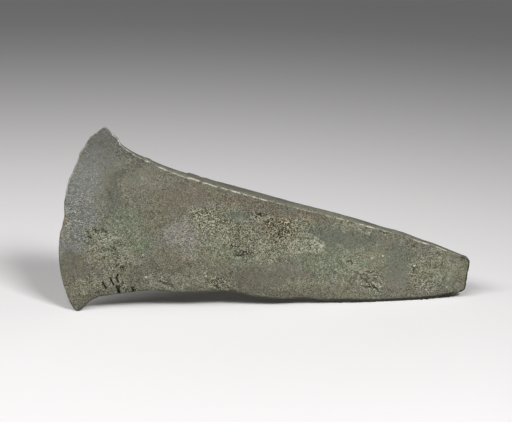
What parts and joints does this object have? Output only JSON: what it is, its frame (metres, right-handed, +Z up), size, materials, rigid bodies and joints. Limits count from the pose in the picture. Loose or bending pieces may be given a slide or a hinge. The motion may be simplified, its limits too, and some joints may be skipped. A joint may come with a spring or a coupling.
{
  "type": "axe head",
  "caption": "Flat bronze axe head with a splayed blade, curved cutting edge, low side flanges and a narrow squared butt, standing on its lower narrow side.",
  "frame": {"origin": "on the ground that the axe stands on, under the middle of its bounding box", "axes": "+X along the axe from the cutting edge to the butt, +Y through its thickness to the far face, +Z up across its width to the upper narrow side"},
  "size_m": [0.1498, 0.0088, 0.0684],
  "materials": {
    "patinated_bronze": "old bronze under a dull grey-green and brown patina, pitted in places"
  },
  "bodies": {
    "root": {"axe_head": "patinated_bronze"}
  },
  "joints": []
}
